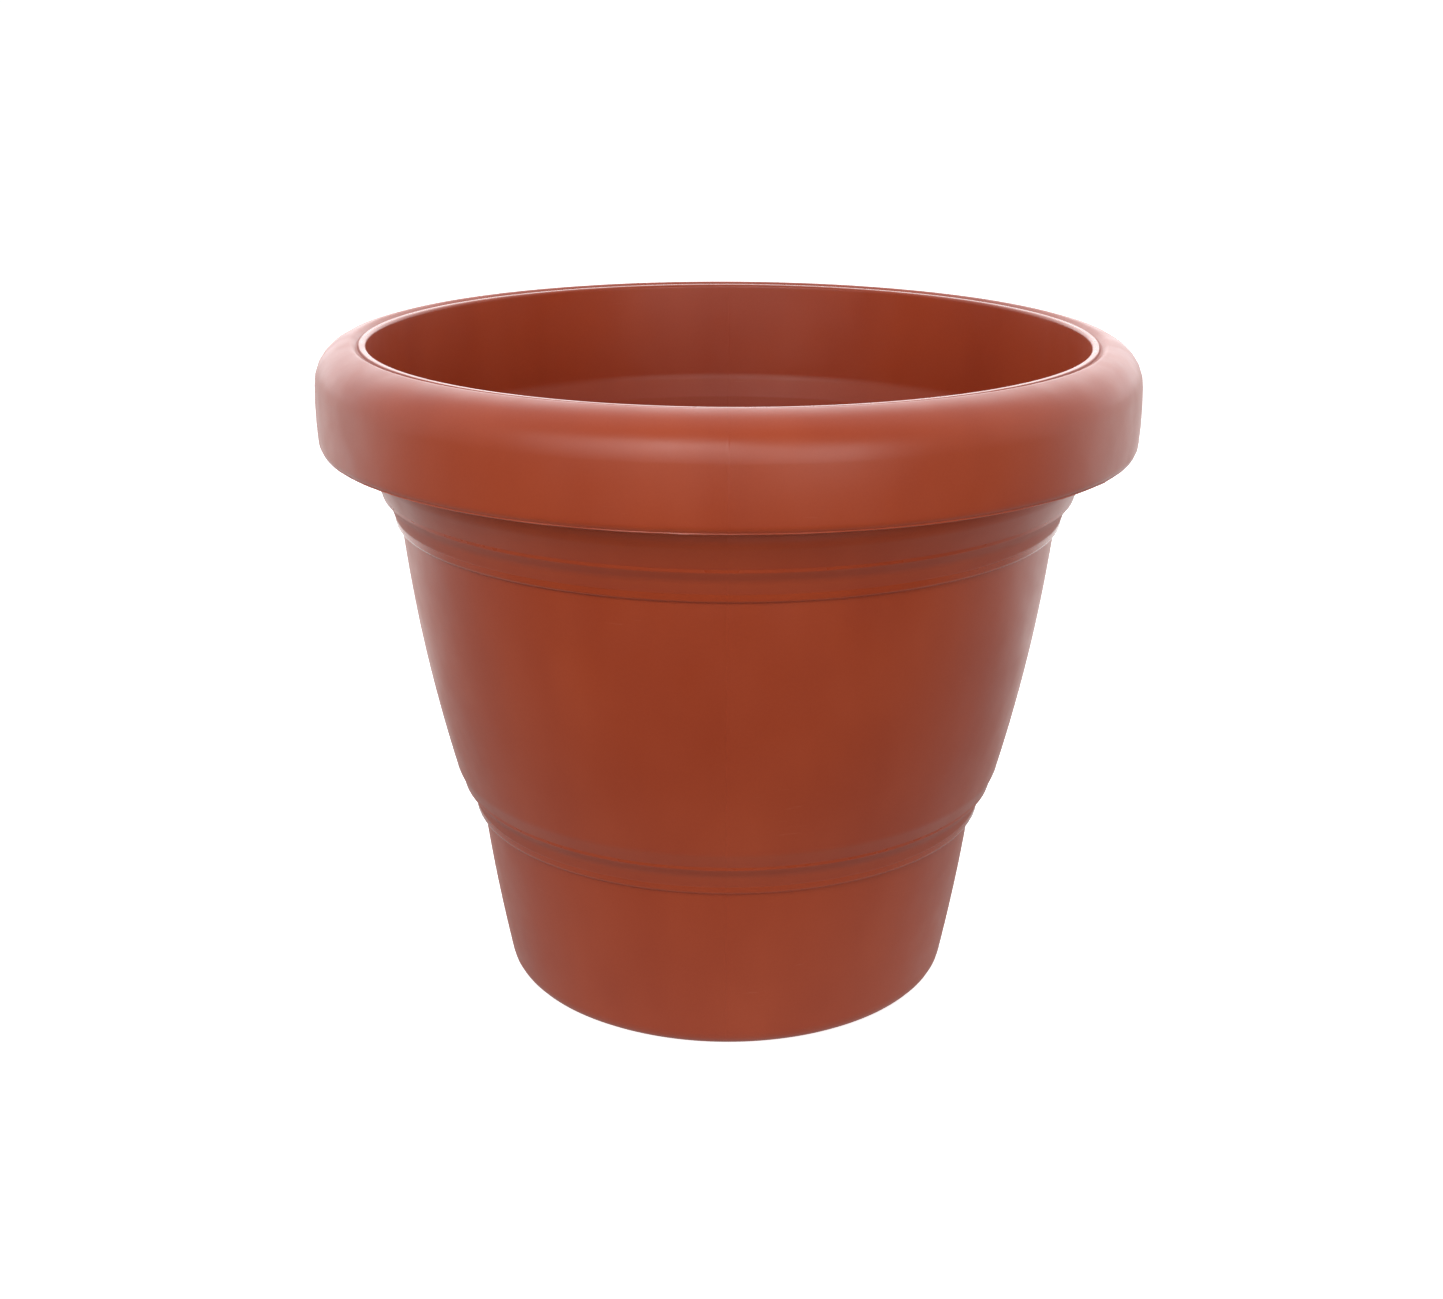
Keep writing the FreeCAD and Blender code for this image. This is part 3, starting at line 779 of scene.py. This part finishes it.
def made_plain(obj, tree, values):
    """Run a geometry tree on an object, and keep the result as its plain mesh."""
    modifier = obj.modifiers.new(tree.name, "NODES")
    modifier.node_group = tree
    for socket in tree.interface.items_tree:
        if socket.in_out == "INPUT" and socket.name in values:
            modifier[socket.identifier] = values[socket.name]
    evaluated = obj.evaluated_get(bpy.context.evaluated_depsgraph_get())
    plain = bpy.data.meshes.new_from_object(evaluated)
    obj.modifiers.remove(modifier)
    obj.data = plain
    plain.name = obj.name
    return obj


def closed_volume(obj):
    """(volume in cubic centimetres, number of open or doubled edges, number of triangles)."""
    shape = bmesh.new()
    shape.from_mesh(obj.data)
    volume = shape.calc_volume(signed=True) * 1e6
    loose = sum(1 for edge in shape.edges if len(edge.link_faces) != 2)
    triangles = sum(len(face.verts) - 2 for face in shape.faces)
    shape.free()
    return volume, loose, triangles


def point_outwards(obj):
    """Turn the mesh the right way out, if it isn't."""
    volume, loose, triangles = closed_volume(obj)
    if volume < 0:
        obj.data.flip_normals()
    print(obj.name, "volume", round(abs(volume), 2), "cm3,", loose, "open edges,",
          triangles, "triangles")


plug_names = ["front_right", "back_right", "back_left", "front_left"]


def hole_centre(name):
    """The middle of a drain hole, from the box of the stopper in it."""
    low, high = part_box("drain_plug_" + name)
    return Vector(((low.x + high.x) / 2, (low.y + high.y) / 2))


DRAIN_RADIUS = 9.0
POT_TURN_STEPS = 288
pot_moulding = chain_object("pot_moulding", pot_rows)
made_plain(pot_moulding, lathe, {
    "Turn steps": POT_TURN_STEPS,
    "Outline points": len(pot_rows),
    "Wall wander": 0.35 * MM,
    "Raggedness": 0.55 * MM,
    "Seed": 3,
    "Drain holes": len(plug_names),
    "Drain circle": hole_centre(plug_names[0]).length,
    "Drain radius": DRAIN_RADIUS * MM,
    "Floor top": FLOOR_TOP * MM,
    "Floor underside": FLOOR_UNDER * MM,
    "Foot radius": FOOT * MM,
    "Notch width": 3.6 * MM,
    "Notch height": 0.8 * MM,
    "Seam width": 3.0 * MM,
    "Seam height": 1.2 * MM,
    "Seam length": 2 * (FOOT_INNER - 2) * MM,
    "Plastic": plastic,
    "Cut edge": cut_edge,
})
point_outwards(pot_moulding)
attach(pot_moulding, "pot")
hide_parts("pot_shell")

# %% [markdown]
# ## The stoppers
# Each drain hole is closed from inside by a push-in rubber stopper: a hollow shank with two sealing
# lips, a brim that lies on the floor, and a tab to pull it out by, with a finger hole and grip ribs.
# The body is turned by the same rule as the pot. The tab is a flat outline with a hole in it, which
# a filled curve with a bevel gives at once, rounded edges included.

# %% Outline of the stopper's body
SHANK = DRAIN_RADIUS - 0.3
TIP = 6.0
TIP_RADIUS = SHANK - 0.6
BORE = TIP_RADIUS - 1.8
BRIM = 14.0
BRIM_TOP = FLOOR_TOP + 2.4
SEALING_LIP = DRAIN_RADIUS - 0.08


def sealing_lip(height):
    """A small rounded ridge round the shank."""
    share = (height - TIP) / (FLOOR_TOP - TIP)
    foot = TIP_RADIUS + (SHANK - TIP_RADIUS) * share
    return [
        Corner(foot, height - 0.6, 0.2),
        Corner(min(foot + 0.45, SEALING_LIP), height, 0.3),
        Corner(foot, height + 0.6, 0.2),
    ]


stopper_corners = [
    Corner(0, FLOOR_TOP),
    Corner(BORE, FLOOR_TOP, 1.0),
    Corner(BORE, TIP, 0.5),
    Corner(TIP_RADIUS, TIP, 0.8),
    *sealing_lip(8.4),
    *sealing_lip(11.0),
    Corner(SHANK, FLOOR_TOP, 0.2),
    Corner(BRIM, FLOOR_TOP, 0.3),
    Corner(BRIM, BRIM_TOP, 1.2),
    Corner(BRIM - 2.3, BRIM_TOP, 0.3),
    Corner(BRIM - 2.6, BRIM_TOP - 0.6, 0.3),
    Corner(BRIM - 3.4, BRIM_TOP - 0.6, 0.3),
    Corner(BRIM - 3.9, BRIM_TOP - 0.1, 0.3),
    Corner(0, BRIM_TOP - 0.1),
]
stopper_rows = smooth_line(stopper_corners)
print("stopper outline:", len(stopper_rows), "points")

# %% Pull tab
TAB_TOP = BRIM_TOP + 9.0
TAB_ROOT = BRIM_TOP - 1.0
TAB_HALF_WIDTH = 6.4
TAB_HALF_TOP = 5.3
TAB_THICKNESS = 2.8
TAB_EDGE = 0.5
HOLE_MIDDLE = BRIM_TOP + 3.4
HOLE_HALF_WIDTH = 2.9
HOLE_HALF_HEIGHT = 1.6
HOLE_POINTS = 40


def tab_outlines():
    """The tab's outside and its finger hole, as two closed loops in millimetres."""
    half = smooth_line([
        Corner(0, TAB_ROOT),
        Corner(TAB_HALF_WIDTH, TAB_ROOT, 0.4),
        Corner(TAB_HALF_TOP, TAB_TOP, 3.8),
        Corner(0, TAB_TOP),
    ])
    right = [(x, z) for x, z, _, _ in half]
    left = [(-x, z) for x, z in reversed(right[1:-1])]
    turns = [math.tau * k / HOLE_POINTS for k in range(HOLE_POINTS)]
    hole = [(HOLE_HALF_WIDTH * math.cos(t), HOLE_MIDDLE + HOLE_HALF_HEIGHT * math.sin(t)) for t in turns]
    return [right + left, hole]


def plate(name, outlines, thickness, edge):
    """A flat plate with rounded edges from closed outlines, stood up in the XZ plane."""
    curve = bpy.data.curves.new(name, "CURVE")
    curve.dimensions = "2D"
    curve.fill_mode = "BOTH"
    curve.extrude = (thickness / 2 - edge) * MM
    curve.bevel_depth = edge * MM
    curve.bevel_resolution = 3
    curve.offset = -edge * MM
    for outline in outlines:
        spline = curve.splines.new("POLY")
        spline.points.add(len(outline) - 1)
        for point, (x, z) in zip(spline.points, outline):
            point.co = (x * MM, z * MM, 0, 1)
        spline.use_cyclic_u = True
    drawn = bpy.data.objects.new(name, curve)
    scene.collection.objects.link(drawn)
    evaluated = drawn.evaluated_get(bpy.context.evaluated_depsgraph_get())
    data = bpy.data.meshes.new_from_object(evaluated)
    bpy.data.objects.remove(drawn)
    shape = bmesh.new()
    shape.from_mesh(data)
    bmesh.ops.remove_doubles(shape, verts=shape.verts, dist=0.002 * MM)
    shape.transform(Matrix.Rotation(math.radians(90), 4, "X"))
    bmesh.ops.recalc_face_normals(shape, faces=shape.faces)
    shape.to_mesh(data)
    shape.free()
    made = bpy.data.objects.new(name + "_solid", data)
    scene.collection.objects.link(made)
    return made


tab = plate("pull_tab", tab_outlines(), TAB_THICKNESS, TAB_EDGE)
print("tab:", len(tab.data.polygons), "faces, volume and open edges", closed_volume(tab)[:2])

# %% Tree for a stopper
STOPPER_INPUTS = [
    ("Turn steps", "Int"), ("Outline points", "Int"), ("Tab", "Object"), ("Tab thickness", "Float"),
    ("Ribs", "Int"), ("Rib pitch", "Float"), ("First rib", "Float"), ("Rib length", "Float"),
    ("Rib radius", "Float"), ("Rubber", "Material"),
]
moulded_stopper, given, result = new_tree("stopper", STOPPER_INPUTS)
size = given.outputs
grid, radius, height, angle, row = turned_grid(moulded_stopper, size["Geometry"], size["Turn steps"],
                                               size["Outline points"])
spot = add_node(moulded_stopper, "ShaderNodeCombineXYZ", {
    "X": maths(moulded_stopper, "MULTIPLY", radius, maths(moulded_stopper, "COSINE", angle)),
    "Y": maths(moulded_stopper, "MULTIPLY", radius, maths(moulded_stopper, "SINE", angle)),
    "Z": height}).outputs[0]
wrapped = add_node(moulded_stopper, "GeometryNodeSetPosition", {"Geometry": grid, "Position": spot})
body = add_node(moulded_stopper, "GeometryNodeMergeByDistance",
                {"Geometry": wrapped.outputs[0], "Distance": 0.002 * MM}).outputs[0]
tab_given = add_node(moulded_stopper, "GeometryNodeObjectInfo", {"Object": size["Tab"]})
rib = add_node(moulded_stopper, "GeometryNodeMeshCylinder",
               {"Vertices": 20, "Radius": size["Rib radius"], "Depth": size["Rib length"]})
rib_laid = add_node(moulded_stopper, "GeometryNodeTransform",
                    {"Geometry": rib.outputs["Mesh"], "Rotation": (0, math.radians(90), 0)})
rib_step = add_node(moulded_stopper, "ShaderNodeCombineXYZ", {"Z": size["Rib pitch"]})
solids = [body, tab_given.outputs["Geometry"]]
for side in (-0.5, 0.5):
    first_rib = add_node(moulded_stopper, "ShaderNodeCombineXYZ", {
        "Y": maths(moulded_stopper, "MULTIPLY", size["Tab thickness"], side),
        "Z": size["First rib"]})
    rib_line = add_node(moulded_stopper, "GeometryNodeMeshLine",
                        {"Count": size["Ribs"], "Start Location": first_rib.outputs[0],
                         "Offset": rib_step.outputs[0]})
    rib_copies = add_node(moulded_stopper, "GeometryNodeInstanceOnPoints",
                          {"Points": rib_line.outputs[0], "Instance": rib_laid.outputs[0]})
    solids.append(add_node(moulded_stopper, "GeometryNodeRealizeInstances",
                           {0: rib_copies.outputs[0]}).outputs[0])
whole = joined_solid(moulded_stopper, *solids)
shaded = edges_held_sharp(moulded_stopper, whole, math.radians(35))
realised = add_node(moulded_stopper, "GeometryNodeRealizeInstances", {0: shaded})
finished = add_node(moulded_stopper, "GeometryNodeSetMaterial",
                    {"Geometry": realised.outputs[0], "Material": size["Rubber"]})
feed(moulded_stopper, result.inputs["Geometry"], finished.outputs[0])
print("stopper tree:", len(moulded_stopper.nodes), "nodes")

# %% [markdown]
# ## Stopper rubber
# Black rubber that has lain under soil: nearly matt, with a grey bloom in patches, a little brown
# dust and the fine stipple of a blasted mould.

# %% Rubber
RUBBER_BLACK = (0.016, 0.015, 0.014)
RUBBER_BLOOM = (0.050, 0.047, 0.044)
SOIL_DUST = (0.110, 0.070, 0.045)


def black_rubber(name):
    """Black stopper rubber with bloom and dust."""
    material, tree, shader = new_finish(name)
    place = add_node(tree, "ShaderNodeTexCoord").outputs["Object"]
    bloom = remap(tree, noise(tree, place, 0.006, detail=3.0), 0.42, 0.68, 0, 1)
    dust = remap(tree, noise(tree, place, 0.0016, detail=4.0, roughness=0.65), 0.56, 0.72, 0, 0.5)
    facing = add_node(tree, "ShaderNodeNewGeometry").outputs["Normal"]
    faces = add_node(tree, "ShaderNodeSeparateXYZ", {0: facing})
    upward = remap(tree, faces.outputs["Z"], 0.2, 0.9, 0.1, 1, smooth=True)
    skin = tinted(tree, bloom, RUBBER_BLACK, RUBBER_BLOOM)
    dusted = blended(tree, maths(tree, "MULTIPLY", dust, upward), skin, SOIL_DUST)
    tree.links.new(dusted, shader.inputs["Base Color"])
    tree.links.new(remap(tree, bloom, 0, 1, 0.48, 0.72), shader.inputs["Roughness"])
    stipple = maths(tree, "MULTIPLY", noise(tree, place, 0.0004, detail=1.0), 0.000012)
    lumps = maths(tree, "MULTIPLY", noise(tree, place, 0.003, detail=2.0), 0.000040)
    bump = add_node(tree, "ShaderNodeBump",
                    {"Height": maths(tree, "ADD", stipple, lumps), "Strength": 1.0, "Distance": 1.0})
    tree.links.new(bump.outputs[0], shader.inputs["Normal"])
    return material


rubber = black_rubber("stopper_rubber_black")

# %% Make one stopper, then one in every hole
stopper_model = chain_object("stopper_model", stopper_rows)
made_plain(stopper_model, moulded_stopper, {
    "Turn steps": 96,
    "Outline points": len(stopper_rows),
    "Tab": tab,
    "Tab thickness": TAB_THICKNESS * MM,
    "Ribs": 3,
    "Rib pitch": 1.05 * MM,
    "First rib": (HOLE_MIDDLE + HOLE_HALF_HEIGHT + 1.2) * MM,
    "Rib length": 6.4 * MM,
    "Rib radius": 0.33 * MM,
    "Rubber": rubber,
})
point_outwards(stopper_model)
for index, name in enumerate(plug_names):
    centre = hole_centre(name)
    turn = math.atan2(centre.y, centre.x)
    placed = Matrix.Translation((centre.x, centre.y, 0)) @ Matrix.Rotation(turn, 4, "Z")
    data = stopper_model.data.copy()
    data.transform(placed)
    stopper = bpy.data.objects.new("stopper_" + name, data)
    scene.collection.objects.link(stopper)
    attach(stopper, "plug_" + name)
    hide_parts("drain_plug_" + name)
for helper in (stopper_model, tab):
    bpy.data.objects.remove(helper)
print("stoppers in holes", round(hole_centre(plug_names[0]).length / MM, 1), "mm from the axis")
